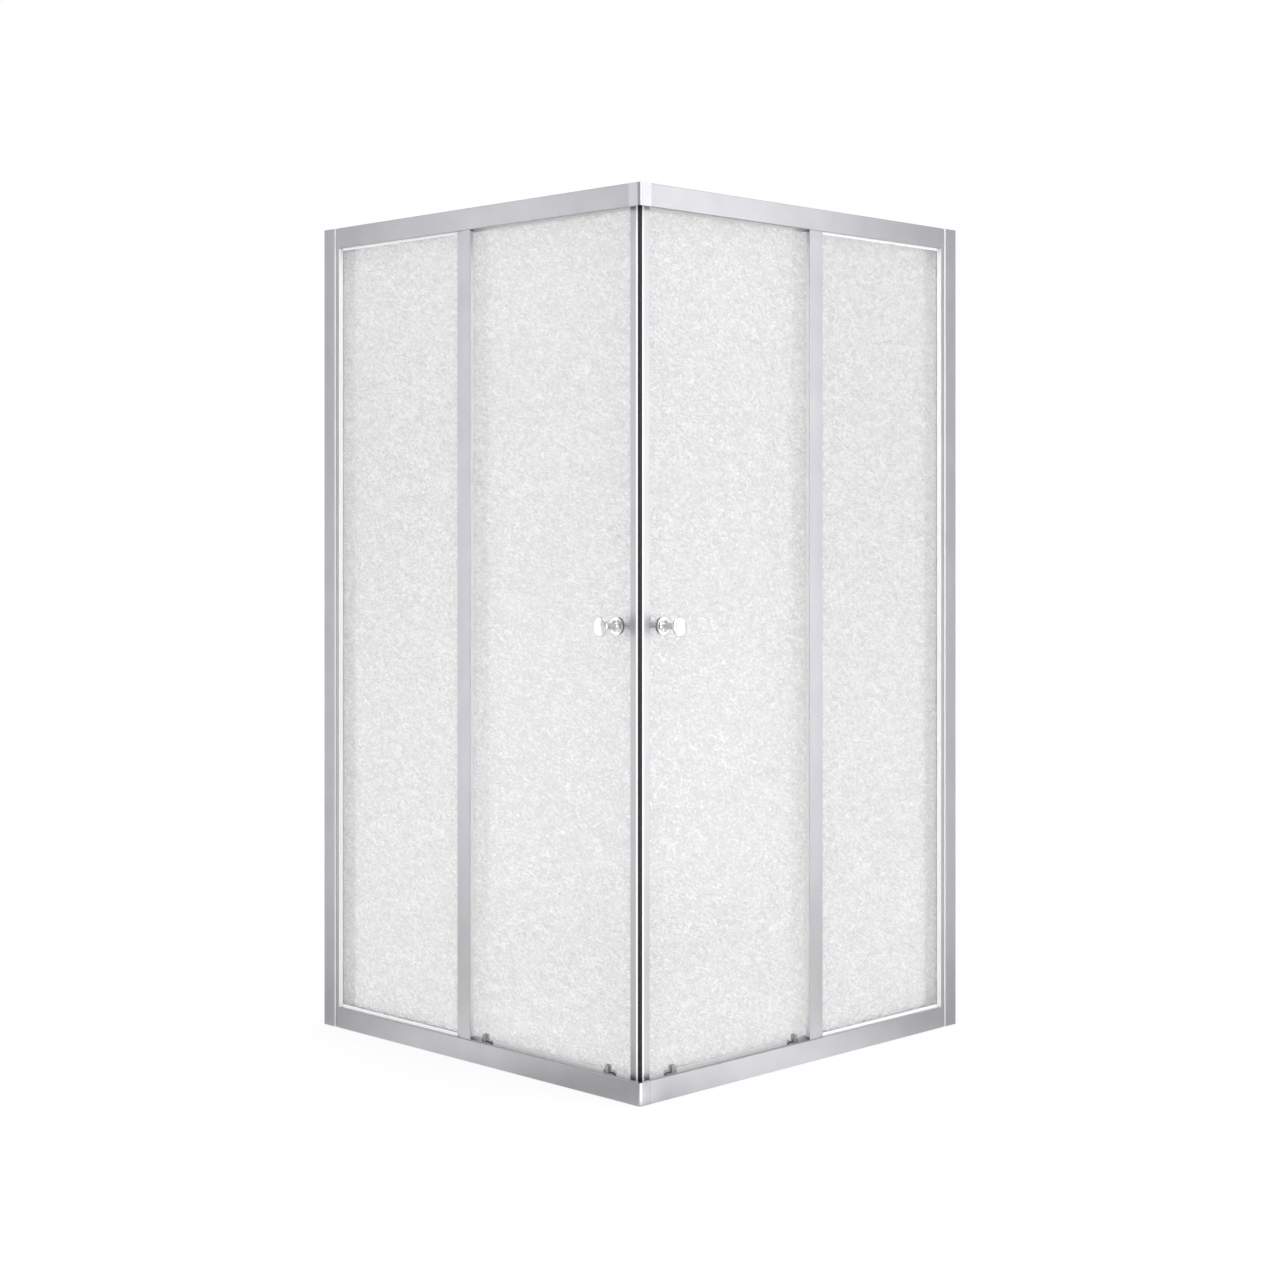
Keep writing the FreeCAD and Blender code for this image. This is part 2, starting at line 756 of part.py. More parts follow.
# The two arcs that leave one point and reach the next along the helix, tangent to it at both
def helix_arcs(start, start_way, end, end_way):
    span = end - start
    ways = start_way + end_way
    a = ways.dot(ways) - 4
    b = -2 * span.dot(ways)
    c = span.dot(span)
    reach = (-b - math.sqrt(b * b - 4 * a * c)) / (2 * a)
    first = start + start_way * reach
    second = end - end_way * reach
    meeting = (first + second) * 0.5
    arcs = []
    for one, peak, two in ((start, first, meeting), (meeting, second, end)):
        chord_middle = (one + two) * 0.5
        half = (two - one).Length / 2
        height = (peak - chord_middle).Length
        sag = half * (reach - half) / height
        middle = chord_middle + (peak - chord_middle) * (sag / height)
        arcs.append(Part.Arc(one, middle, two).toShape())
    return arcs


def plunger_spring(s):
    low = spring_floor + spring_wire_radius + spring_end_gap
    high = plunger_foot - spring_wire_radius - spring_end_gap
    rise = (high - low) / (2 * math.pi * spring_turns)
    centre = place(s, spring_depth(), low)
    slant = math.hypot(spring_radius, rise)

    def at(angle):
        return centre + FreeCAD.Vector(spring_radius * math.cos(angle), spring_radius * math.sin(angle),
                                       rise * angle)

    def way(angle):
        return FreeCAD.Vector(-spring_radius * math.sin(angle), spring_radius * math.cos(angle),
                              rise) * (1 / slant)

    edges = []
    for step in range(4 * spring_turns):
        angles = (step * math.pi / 2, (step + 1) * math.pi / 2)
        edges += helix_arcs(at(angles[0]), way(angles[0]), at(angles[1]), way(angles[1]))
    section = Part.Wire(Part.makeCircle(spring_wire_radius, at(0), way(0)))
    return Part.Wire(edges).makePipeShell([section], True, False)


def main():
    os.makedirs("parts", exist_ok=True)

    write_pair("wall_profile", [wall_profile()])
    write_pair("jamb", [jamb()])
    write_pair("fixed_glass", [fixed_glass()])
    write_pair("post", [post()])
    write_node("fixed_glass_gaskets", both_sides([fixed_gasket()]))
    write_node("post_seals", both_sides([post_seal()]))

    bottom_rail = rail()
    write_pair("bottom_rail", [bottom_rail])
    write_pair("top_rail", [flipped(bottom_rail)])
    bottom_joint = corner_joint()
    write_node("bottom_corner_joint", [bottom_joint])
    write_node("top_corner_joint", [flipped(bottom_joint)])
    write_node("frame_screws", frame_screws())
    write_node("door_stops", door_stops())

    write_pair("door_glass", [door_glass()])
    write_pair("front_stile", [front_stile()])
    write_pair("rear_stile", [rear_stile()])
    write_pair("door_glass_seals", door_glass_seals())
    write_pair("magnet_carrier", [magnet_carrier()])
    write_pair("magnet_strip", [magnet_strip()])
    write_pair("outer_knob", [knob(door_glass_face, -1, outer_knob_reach)])
    write_pair("inner_knob", [knob(door_glass_back, 1, inner_knob_reach)])
    write_pair("knob_stud", [knob_stud()])
    write_pair("knob_washers", knob_washers())

    caps = [roller_cap(*spot) for s in roller_places for spot in (top_cap_spot(s), bottom_cap_spot(s))]
    write_pair("roller_caps", caps)
    write_pair("top_roller_axles", [top_axle(s) for s in roller_places])
    write_pair("bottom_roller_housings", [bottom_housing(s) for s in roller_places])

    for label, s in zip(("lead", "trail"), roller_places):
        top = roller(s, cabin_height - top_axle_rise, top_roller_radius, top_axle_radius + axle_gap)
        bottom = roller(s, bottom_axle_rise, bottom_roller_radius, bottom_axle_radius + axle_gap)
        write_pair(label + "_top_roller", [top])
        write_pair(label + "_bottom_roller", [bottom])
        write_pair(label + "_release_plunger", [release_plunger(s)])
        write_pair(label + "_plunger_spring", [plunger_spring(s)])

    turn_gap = (plunger_foot - spring_floor) / spring_turns - 2 * spring_wire_radius
    print("gap between the turns of a plunger spring", round(turn_gap, 2))
    print("corner place", corner)
    print("door travel", round(door_travel, 2))


main()
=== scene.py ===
import json
import math

import bmesh
import bpy
from mathutils import Matrix, Vector, noise


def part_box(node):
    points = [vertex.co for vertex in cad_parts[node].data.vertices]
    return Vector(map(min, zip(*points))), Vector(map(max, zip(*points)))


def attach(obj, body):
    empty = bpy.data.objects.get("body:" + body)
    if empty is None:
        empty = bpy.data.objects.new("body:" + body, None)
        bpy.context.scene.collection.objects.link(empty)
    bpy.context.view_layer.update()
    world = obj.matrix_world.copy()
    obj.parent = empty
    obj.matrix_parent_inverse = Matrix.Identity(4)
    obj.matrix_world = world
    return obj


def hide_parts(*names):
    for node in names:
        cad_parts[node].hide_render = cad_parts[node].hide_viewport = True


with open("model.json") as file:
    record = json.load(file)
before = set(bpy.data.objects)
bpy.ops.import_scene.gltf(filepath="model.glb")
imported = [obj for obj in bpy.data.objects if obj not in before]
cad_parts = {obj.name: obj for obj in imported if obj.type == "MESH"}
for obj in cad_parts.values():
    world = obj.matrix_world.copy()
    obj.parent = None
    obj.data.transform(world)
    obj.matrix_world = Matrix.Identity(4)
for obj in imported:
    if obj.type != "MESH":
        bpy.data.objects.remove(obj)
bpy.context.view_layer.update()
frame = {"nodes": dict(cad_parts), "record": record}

millimetre = 0.001
scene = bpy.context.scene
scene.view_settings.view_transform = "Standard"
print("frame loaded:", len(frame["nodes"]), "pieces")


# Colours are written as sRGB hex and turned to linear here
def linear(hexColour):
    channels = [int(hexColour[start:start + 2], 16) / 255 for start in (1, 3, 5)]
    return [c / 12.92 if c <= 0.04045 else ((c + 0.055) / 1.055) ** 2.4 for c in channels] + [1.0]


# Gives an input of a node a value, or a link when the value is another node's output
def feed(tree, socket, value):
    if isinstance(value, bpy.types.NodeSocket):
        tree.links.new(value, socket)
    else:
        socket.default_value = value


# Adds one node, with its settings, and with values or links for its inputs
def addNode(tree, kind, settings=None, inputs=None):
    node = tree.nodes.new(kind)
    for name, value in (settings or {}).items():
        setattr(node, name, value)
    for name, value in (inputs or {}).items():
        feed(tree, node.inputs[name], value)
    return node


# Every finish starts with a Principled surface and the piece's own coordinates
def startFinish(name, surfaceInputs):
    material = bpy.data.materials.new(name)
    material.use_nodes = True
    tree = material.node_tree
    tree.nodes.clear()
    surface = addNode(tree, "ShaderNodeBsdfPrincipled", None, surfaceInputs)
    addNode(tree, "ShaderNodeOutputMaterial", None, {"Surface": surface.outputs["BSDF"]})
    place = addNode(tree, "ShaderNodeTexCoord").outputs["Object"]
    return material, tree, surface, place


# A noise whose grain has the given size in millimetres along X, Y and Z
def grain(tree, place, size, detail=2.0, distortion=0.0):
    scale = [1 / (length * millimetre) for length in size]
    stretched = addNode(tree, "ShaderNodeMapping", None, {"Vector": place, "Scale": scale})
    return addNode(tree, "ShaderNodeTexNoise", None, {
        "Vector": stretched.outputs["Vector"], "Scale": 1.0, "Detail": detail,
        "Distortion": distortion}).outputs["Fac"]


# A noise mostly stays between these two values, so a blend goes from its first end to its second there
noiseRange = (0.3, 0.7)


def blendColour(tree, amount, first, second):
    ramp = addNode(tree, "ShaderNodeValToRGB", None, {"Fac": amount})
    for stop, level, colour in zip(ramp.color_ramp.elements, noiseRange, (first, second)):
        stop.position = level
        stop.color = linear(colour)
    return ramp.outputs["Color"]


def blendValue(tree, amount, first, second):
    return addNode(tree, "ShaderNodeMapRange", None, {
        "Value": amount, "From Min": noiseRange[0], "From Max": noiseRange[1],
        "To Min": first, "To Max": second}).outputs["Result"]


def makeMaths(tree, operation, first, second):
    node = addNode(tree, "ShaderNodeMath", {"operation": operation})
    feed(tree, node.inputs[0], first)
    feed(tree, node.inputs[1], second)
    return node.outputs[0]


# Shows the first shader where the share is 0, and the second where it is 1
def mixShaders(tree, share, first, second):
    node = addNode(tree, "ShaderNodeMixShader", None, {"Fac": share})
    feed(tree, node.inputs[1], first)
    feed(tree, node.inputs[2], second)
    return node.outputs["Shader"]


# Lets a finish show another shader than its plain surface
def showInstead(tree, shader):
    output = [node for node in tree.nodes if node.type == "OUTPUT_MATERIAL"][0]
    tree.links.new(shader, output.inputs["Surface"])


def relief(tree, surface, height, depth):
    bump = addNode(tree, "ShaderNodeBump", None, {
        "Height": height, "Strength": 1.0, "Distance": depth * millimetre})
    tree.links.new(bump.outputs["Normal"], surface.inputs["Normal"])


# Extruded aluminium, etched and satin anodised: a cool mid grey with soft reflections, drawn out
# across the fine lines that the die leaves along the length
anodised = {
    "colours": ("#acabaf", "#b2b1b4"), "roughness": (0.36, 0.42),
    "lineSpacing": 0.9,    # coarser than the real 0.2 mm, so that it still shows a few metres away
    "lineLength": 400.0, "lineDetail": 3.0, "lineDepth": 0.02, "mottle": 60.0,
}


def satinAnodised(name, axis):
    material, tree, surface, place = startFinish(name, {"Metallic": 1.0})
    size = [anodised["lineSpacing"]] * 3
    size[axis] = anodised["lineLength"]
    lines = grain(tree, place, size, anodised["lineDetail"])
    mottle = grain(tree, place, [anodised["mottle"]] * 3)
    tree.links.new(blendColour(tree, mottle, *anodised["colours"]), surface.inputs["Base Color"])
    tree.links.new(blendValue(tree, lines, *anodised["roughness"]), surface.inputs["Roughness"])
    relief(tree, surface, lines, anodised["lineDepth"])
    return material


# Zinc die casting, sprayed silver: fine metallic flake under a soft lacquer
silverPaint = {
    "colours": ("#a8a7ac", "#b5b4b9"), "metallic": 0.9, "roughness": 0.27, "lacquer": 0.15,
    "lacquerRoughness": 0.12, "flake": 0.5, "flakeDetail": 1.0, "orangePeel": 4.0, "peelDepth": 0.02,
}


def silverPaintedCasting():
    material, tree, surface, place = startFinish("silver painted die casting", {
        "Metallic": silverPaint["metallic"], "Roughness": silverPaint["roughness"],
        "Coat Weight": silverPaint["lacquer"], "Coat Roughness": silverPaint["lacquerRoughness"]})
    flake = grain(tree, place, [silverPaint["flake"]] * 3, silverPaint["flakeDetail"])
    tree.links.new(blendColour(tree, flake, *silverPaint["colours"]), surface.inputs["Base Color"])
    orangePeel = grain(tree, place, [silverPaint["orangePeel"]] * 3)
    relief(tree, surface, orangePeel, silverPaint["peelDepth"])
    return material


# Toughened clear glass, rolled with a stirred hammered pattern: it lets the light through, but
# scatters part of it and breaks up what stands behind. Its streaks are painted lighter than the body,
# as painted glints where the hammered relief catches the light
rolledGlass = {
    "roughness": 0.06, "bending": 1.42, "specular": 0.3,
    "transmission": 0.92, "scatter": 0.15, "scatterColour": "#f8f8f8",
    "streakAcross": 14.0, "streakUp": 8.0, "slant": 25.0, "streakWidth": 0.12, "streakDepth": 0.15,
    "detail": 1.0, "stir": 1.5, "body": "#dcdcdc", "streakAndPaintedGlint": "#f7f7f7",
}


def hammeredGlass():
    material, tree, surface, place = startFinish("toughened hammered glass", {
        "Roughness": rolledGlass["roughness"], "IOR": rolledGlass["bending"],
        "Specular IOR Level": rolledGlass["specular"],
        "Transmission Weight": rolledGlass["transmission"]})
    slanted = addNode(tree, "ShaderNodeVectorRotate", None, {
        "Vector": place, "Axis": (1, -1, 0),
        "Angle": math.radians(rolledGlass["slant"])}).outputs["Vector"]
    across, up = rolledGlass["streakAcross"], rolledGlass["streakUp"]
    stirred = grain(tree, slanted, [across, across, up], rolledGlass["detail"], rolledGlass["stir"])
    crossing = makeMaths(tree, "ABSOLUTE", makeMaths(tree, "SUBTRACT", stirred, 0.5), 0.0)
    streakAndPaintedGlint = addNode(tree, "ShaderNodeMapRange", {"interpolation_type": "SMOOTHSTEP"}, {
        "Value": crossing, "From Min": 0.0, "From Max": rolledGlass["streakWidth"],
        "To Min": 1.0, "To Max": 0.0}).outputs["Result"]
    # Painted glints: the streaks get a lighter colour than the body of the glass, and the same streaks
    # press the relief
    tree.links.new(blendColour(tree, streakAndPaintedGlint, rolledGlass["body"], rolledGlass["streakAndPaintedGlint"]),
                   surface.inputs["Base Color"])
    relief(tree, surface, streakAndPaintedGlint, rolledGlass["streakDepth"])
    scattered = addNode(tree, "ShaderNodeBsdfTranslucent", None, {
        "Color": linear(rolledGlass["scatterColour"])})
    showInstead(tree, mixShaders(tree, rolledGlass["scatter"], surface.outputs["BSDF"],
                                 scattered.outputs["BSDF"]))
    return material


# Brass, polished and chrome plated: mirror bright, with the faint waviness of hand polishing
chrome = {"colour": "#dcdcdf", "roughness": (0.16, 0.20), "waviness": 14.0, "waveDepth": 0.01}


def polishedChrome():
    material, tree, surface, place = startFinish("polished chrome plate", {
        "Base Color": linear(chrome["colour"]), "Metallic": 1.0})
    waviness = grain(tree, place, [chrome["waviness"]] * 3)
    tree.links.new(blendValue(tree, waviness, *chrome["roughness"]), surface.inputs["Roughness"])
    relief(tree, surface, waviness, chrome["waveDepth"])
    return material


# Zinc plated steel: dull, cool grey and slightly cloudy
zinc = {"colours": ("#8f9093", "#a3a4a8"), "roughness": (0.28, 0.42), "cloud": 3.0, "cloudDetail": 3.0}


def zincPlatedSteel():
    material, tree, surface, place = startFinish("zinc plated steel", {"Metallic": 1.0})
    cloud = grain(tree, place, [zinc["cloud"]] * 3, zinc["cloudDetail"])
    tree.links.new(blendColour(tree, cloud, *zinc["colours"]), surface.inputs["Base Color"])
    tree.links.new(blendValue(tree, cloud, *zinc["roughness"]), surface.inputs["Roughness"])
    return material


# Plastics and rubber are moulded or extruded, with a fine even grain
plasticLook = {"bending": 1.5, "roughnessSpread": 0.05}
plastics = {
    # Soft clear PVC, frosted by its extrusion
    "clear_seal": {
        "name": "frosted clear PVC", "colours": ("#eceef0", "#f6f7f8"), "roughness": 0.45,
        "grain": (2.0, 2.0, 60.0), "depth": 0.02, "inputs": {"Transmission Weight": 0.35}},
    # Rigid white PVC with a slight sheen
    "white_carrier": {
        "name": "white PVC", "colours": ("#f4f4f4", "#fbfbfb"), "roughness": 0.32,
        "grain": (1.5, 1.5, 80.0), "depth": 0.015, "inputs": {}},
    # Magnet tape and EPDM rubber, dull and near black
    "black_rubber": {
        "name": "black magnet rubber", "colours": ("#131316", "#1c1c20"), "roughness": 0.50,
        "grain": (1.2, 1.2, 40.0), "depth": 0.03, "inputs": {"Specular IOR Level": 0.25}},
    # Glass filled nylon, mid grey with a fine spark eroded texture
    "grey_nylon": {
        "name": "grey nylon", "colours": ("#b0b1b4", "#bcbdc0"), "roughness": 0.46,
        "grain": (0.8, 0.8, 0.8), "depth": 0.03, "inputs": {}},
}


def mouldedPlastic(look):
    material, tree, surface, place = startFinish(
        look["name"], {"IOR": plasticLook["bending"], **look["inputs"]})
    texture = grain(tree, place, look["grain"])
    roughness, spread = look["roughness"], plasticLook["roughnessSpread"]
    tree.links.new(blendColour(tree, texture, *look["colours"]), surface.inputs["Base Color"])
    tree.links.new(blendValue(tree, texture, roughness - spread, roughness + spread),
                   surface.inputs["Roughness"])
    relief(tree, surface, texture, look["depth"])
    return material


# The finish of each of the record's material slots
finishes = {
    "painted_corner": silverPaintedCasting(),
    "textured_glass": hammeredGlass(),
    "polished_chrome": polishedChrome(),
    "steel": zincPlatedSteel(),
}
finishes.update({slot: mouldedPlastic(look) for slot, look in plastics.items()})
alongAxis = {
    "X": satinAnodised("satin anodised aluminium, drawn along X", 0),
    "Y": satinAnodised("satin anodised aluminium, drawn along Y", 1),
    "Z": satinAnodised("satin anodised aluminium, drawn along Z", 2),
}


# The rails of the left side run along X and those of the right side along Y, and the rest stands up
def finishOf(node, slot):
    if slot != "satin_aluminium":
        return finishes[slot]
    if "rail" not in node:
        return alongAxis["Z"]
    return alongAxis["X" if node.startswith("left") else "Y"]


def dressFrame():
    for subpart in frame["record"]["subparts"]:
        node = subpart["node"]
        piece = frame["nodes"][node]
        finish = finishOf(node, subpart["material_slot"])
        if not piece.material_slots:
            piece.data.materials.append(finish)
        for holder in piece.material_slots:
            holder.material = finish


dressFrame()
print("finishes on the frame")


# Turns a bmesh into a piece at the origin, which rides on a body and stands for a node, if one is given
def finishPiece(shape, name, node, body, slot):
    data = bpy.data.meshes.new(name)
    shape.to_mesh(data)
    shape.free()
    piece = bpy.data.objects.new(name, data)
    scene.collection.objects.link(piece)
    data.materials.append(finishes[slot])
    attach(piece, body)
    if node:
        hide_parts(node)
    return piece


# Each side's own directions: along the side, up, and out of the enclosure
sideTurns = {
    "left": Matrix(((1, 0, 0), (0, 0, -1), (0, 1, 0))).to_4x4(),
    "right": Matrix(((0, 0, 1), (1, 0, 0), (0, 1, 0))).to_4x4(),
}
outwards = {"left": Vector((0, -1, 0)), "right": Vector((1, 0, 0))}

# A pane of rolled glass: the relief is pressed into its outer face, and its back is flat
pane = {
    "cellAlong": 3.3, "cellUp": 2.3, "swirlAlong": 9.5, "swirlUp": 5.2, "slant": -25.0,
    "depth": 0.7, "gain": 1.2, "stir": 1.0,
    "boreRadius": 5.0, "knobHoleRadius": 6.0, "mergeWithin": 1e-6,
}


def paneHoles(side):
    spots = []
    for node, radius in (("top_roller_axles", pane["boreRadius"]), ("roller_caps", pane["boreRadius"]),
                         ("knob_washers", pane["knobHoleRadius"])):
        spots += [((low + high) / 2, radius * millimetre) for low, high in partBoxes(side + "_" + node)]
    return spots


# The boxes round the loose parts of a node
def partBoxes(node):
    copy = bmesh.new()
    copy.from_mesh(frame["nodes"][node].data)
    bmesh.ops.remove_doubles(copy, verts=copy.verts, dist=pane["mergeWithin"])
    boxes = []
    left = set(copy.verts)
    while left:
        group = []
        queue = [left.pop()]
        while queue:
            vertex = queue.pop()
            group.append(vertex.co)
            for edge in vertex.link_edges:
                other = edge.other_vert(vertex)
                if other in left:
                    left.remove(other)
                    queue.append(other)
        low = Vector([min(point[i] for point in group) for i in range(3)])
        high = Vector([max(point[i] for point in group) for i in range(3)])
        boxes.append((low, high))
    copy.free()
    return boxes


def rolledPane(side, kind, body, layer):
    node = side + "_" + kind
    low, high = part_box(node)
    turn = sideTurns[side]
    size = turn.inverted() @ (high - low)
    middle = (low + high) / 2 + outwards[side] * abs(size.z) / 2
    toWorld = Matrix.Translation(middle) @ turn
    cellAlong, cellUp = pane["cellAlong"] * millimetre, pane["cellUp"] * millimetre
    shape = bmesh.new()
    bmesh.ops.create_grid(shape, x_segments=round(size.x / cellAlong),
                          y_segments=round(size.y / cellUp), size=0.5)
    bmesh.ops.scale(shape, vec=(size.x, size.y, 1), verts=shape.verts)

    # Each bore takes away the squares that it touches, and the rim is drawn onto its circle. A bore that
    # carries a part on each face is cut once
    holes = paneHoles(side) if kind == "door_glass" else []
    bored = []
    for centre, radius in holes:
        spot = toWorld.inverted() @ centre
        spot.z = 0
        if any((spot - other).length < radius for other in bored):
            continue
        bored.append(spot)
        inside = [face for face in shape.faces
                  if any((vertex.co - spot).length < radius for vertex in face.verts)]
        bmesh.ops.delete(shape, geom=inside, context="FACES")
        rim = [vertex for vertex in shape.verts
               if vertex.is_boundary and (vertex.co - spot).length < radius + cellAlong + cellUp]
        for vertex in rim:
            vertex.co = spot + (vertex.co - spot).normalized() * radius

    along, up = pane["swirlAlong"] * millimetre, pane["swirlUp"] * millimetre
    slant = Matrix.Rotation(math.radians(-pane["slant"]), 3, "Z")
    for vertex in shape.verts:
        turned = slant @ vertex.co
        spot = Vector((turned.x / along, turned.y / up, layer))
        height = noise.variable_lacunarity(spot, pane["stir"])
        vertex.co.z = -pane["depth"] * millimetre * min(max(0.5 - pane["gain"] * height, 0), 1)

    for face in shape.faces:
        face.smooth = True
    rim = [edge for edge in shape.edges if edge.is_boundary]
    for edge in rim:
        edge.smooth = False
    sides = bmesh.ops.extrude_edge_only(shape, edges=rim)["geom"]
    for vertex in sides:
        if isinstance(vertex, bmesh.types.BMVert):
            vertex.co.z = -abs(size.z)
    backRim = [edge for edge in shape.edges if edge.is_boundary]
    bmesh.ops.triangle_fill(shape, use_beauty=True, edges=backRim)
    bmesh.ops.recalc_face_normals(shape, faces=shape.faces)
    bmesh.ops.transform(shape, matrix=toWorld, verts=shape.verts)
    finishPiece(shape, node + "_rolled", node, body, "textured_glass")


# Each pane takes its relief from a layer of the noise of its own
paneLayers = {"left": {"fixed": 0.5, "door": 5.5}, "right": {"fixed": 10.5, "door": 15.5}}
for side, layers in paneLayers.items():
    rolledPane(side, "fixed_glass", "frame", layers["fixed"])
    rolledPane(side, "door_glass", side + "_door", layers["door"])
print("panes rolled")

# A turned knob: a flared foot on the glass, a slim neck, and a wide head with a round rim
knob = {
    "footRadius": 15.5, "footEdge": 0.5, "footThickness": 1.6, "flareLength": 6.0, "neckRadius": 6.0,
    "headThickness": 6.0, "headDome": 1.2, "headSlope": 1.0, "underFillet": 1.2,
    "screwRadius": 3.05, "screwDepth": 18.3, "washer": 0.8, "turns": 96,
    "edgeSteps": 4, "flareSteps": 12, "filletSteps": 5, "rimSteps": 16, "domeSteps": 10,
    "smoothBelow": 35.0, "mergeWithin": 0.0001,
}


# Points on a circle, from one angle to another in degrees
def bend(middle, radius, start, end, steps):
    points = []
    for step in range(steps + 1):
        angle = math.radians(start + (end - start) * step / steps)
        points.append((middle[0] + radius * math.cos(angle), middle[1] + radius * math.sin(angle)))
    return points


# The outline goes from the bottom of the screw hole, round the foot, up the neck and over the head.
# Each point is a radius and a distance from the glass, in millimetres
def knobOutline(reach, headRadius):
    rim = knob["headThickness"] / 2
    crown = headRadius - rim
    headFront = reach - knob["headDome"]
    headBack = headFront - knob["headThickness"]
    ball = (crown ** 2 + knob["headDome"] ** 2) / (2 * knob["headDome"])
    half = math.degrees(math.asin(crown / ball))
    edge = knob["footEdge"]
    flare = knob["flareLength"]
    foot = knob["footRadius"]
    neck = knob["neckRadius"]
    fillet = knob["underFillet"]
    points = [(0, knob["screwDepth"]), (knob["screwRadius"], knob["screwDepth"]),
              (knob["screwRadius"], knob["washer"])]
    points += [(foot - edge, knob["washer"]), (foot, knob["washer"] + edge / 2)]
    points += bend((foot - edge, knob["footThickness"]), edge, 0, 90, knob["edgeSteps"])
    flareWidth = foot - edge - neck
    for step in range(1, knob["flareSteps"] + 1):
        angle = math.radians(90 * step / knob["flareSteps"])
        points.append((neck + flareWidth * (1 - math.sin(angle)),
                       knob["footThickness"] + edge + flare * (1 - math.cos(angle))))
    points += bend((neck + fillet, headBack - knob["headSlope"] - fillet), fillet, 180, 90,
                   knob["filletSteps"])
    points += bend((crown, headBack + rim), rim, -90, 90, knob["rimSteps"])
    steps = knob["domeSteps"]
    points += [(ball * math.sin(math.radians(half * step / steps)),
                reach - ball + ball * math.cos(math.radians(half * step / steps)))
               for step in range(steps - 1, -1, -1)]
    return points


def turnedKnob(name, side, way):
    node = side + "_" + name
    low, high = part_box(node)
    glassLow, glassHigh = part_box(side + "_door_glass")
    out = outwards[side] * way
    middle = (low + high) / 2
    depthAxis = 1 if side == "left" else 0
    glass = [glassLow, glassHigh][sum(out) > 0][depthAxis]
    end = [low, high][sum(out) > 0][depthAxis]
    middle[depthAxis] = glass
    reach = abs(end - glass) / millimetre
    headRadius = (high.z - low.z) / 2 / millimetre
    shape = bmesh.new()
    outline = [shape.verts.new((radius, 0, distance))
               for radius, distance in knobOutline(reach, headRadius)]
    edges = [shape.edges.new(pair) for pair in zip(outline, outline[1:])]
    bmesh.ops.spin(shape, geom=outline + edges, cent=(0, 0, 0), axis=(0, 0, 1), dvec=(0, 0, 0),
                   angle=math.tau, steps=knob["turns"], use_merge=True)
    bmesh.ops.remove_doubles(shape, verts=shape.verts, dist=knob["mergeWithin"])
    bmesh.ops.recalc_face_normals(shape, faces=shape.faces)
    for face in shape.faces:
        face.smooth = True
    for edge in shape.edges:
        edge.smooth = edge.calc_face_angle(0) < math.radians(knob["smoothBelow"])
    turn = out.to_track_quat("Z", "Y").to_matrix().to_4x4()
    toWorld = Matrix.Translation(middle) @ turn @ Matrix.Scale(millimetre, 4)
    bmesh.ops.transform(shape, matrix=toWorld, verts=shape.verts)
    finishPiece(shape, node + "_turned", node, side + "_door", "polished_chrome")


for side in ("left", "right"):
    turnedKnob("outer_knob", side, 1)
    turnedKnob("inner_knob", side, -1)
print("knobs turned")

# White PVC trim. Thin strips on the outer face of each pane, at its foot and at its top, hide the tracks
# in the rails, and the foot strip of a door leaves room for the clips of the rollers. Beads close the jamb
# beside the glass and beside the wall profile, and a seal behind the lip of each post reaches the door
trim = {
    "gap": 0.02, "inset": 0.5, "clipGap": 0.3,
    "strip": 0.25, "doorFoot": (30.0, 43.0), "doorTop": (1558.0, 1567.0),
    "fixedRise": 6.0, "fixedDrop": 5.0,
    "bead": 1.2, "beadLip": 4.0, "beadSetback": 0.4, "coverSetback": 1.0,
    "edgeBead": (1.8, 1.4), "edgeBeadEnd": 0.5,
    "lip": 1.5, "lipSetback": 1.0, "sealReach": 15.5, "sealFlange": 1.0, "sealWeb": 1.2, "sealGap": 0.4,
}
magnetLip = {"size": (0.36, 5.0), "setback": 4.0}
rounding = {"share": 0.3, "segments": 2, "profile": 0.5}
corner = -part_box("left_bottom_rail")[0].y


# The ranges of the loose parts of a node: along the side from the corner, inwards from its outer face, up
def sideRanges(side, node):
    ranges = []
    for low, high in partBoxes(side + "_" + node):
        xRange, yRange = (corner - high.x, corner - low.x), (low.y + corner, high.y + corner)
        across = [xRange, yRange] if side == "left" else [yRange, xRange]
        ranges.append((*across, (low.z, high.z)))
    return sorted(ranges)


# From a side's own ranges to the frame
def placeOnSide(side, shape):
    if side == "left":
        toWorld = Matrix(((-1, 0, 0, corner), (0, 1, 0, -corner), (0, 0, 1, 0), (0, 0, 0, 1)))
    else:
        toWorld = Matrix(((0, -1, 0, corner), (1, 0, 0, -corner), (0, 0, 1, 0), (0, 0, 0, 1)))
    bmesh.ops.transform(shape, matrix=toWorld, verts=shape.verts)
    bmesh.ops.recalc_face_normals(shape, faces=shape.faces)


# Rounds the edges of a bar by a share of its thickness
def roundEdges(shape, edges, thickness):
    bmesh.ops.bevel(shape, geom=edges, offset=thickness * rounding["share"], profile=rounding["profile"],
                    segments=rounding["segments"], affect="EDGES", material=-1)


def layBars(side, name, bars, body):
    shape = bmesh.new()
    for bar in bars:
        size = Vector([end - start for start, end in bar])
        middle = Vector([(start + end) / 2 for start, end in bar])
        cube = bmesh.ops.create_cube(shape, size=1.0)["verts"]
        bmesh.ops.scale(shape, vec=size, verts=cube)
        bmesh.ops.translate(shape, vec=middle, verts=cube)
        edges = list({edge for vertex in cube for edge in vertex.link_edges})
        roundEdges(shape, edges, min(size))
    placeOnSide(side, shape)
    finishPiece(shape, side + "_" + name, None, body, "white_carrier")


# A flat clip on the outer face of the door's glass holds each bottom roller: a foot that slopes down
# towards the corner, and a tab in front of the release plunger
clip = {
    "thickness": 0.3, "foot": 30.5, "shoulder": 35.8, "slope": 9.0, "reach": 21.0, "heel": 2.5,
    "tabTop": 49.0, "tabHalf": 4.3, "round": 1.0, "roundSteps": 3,
}


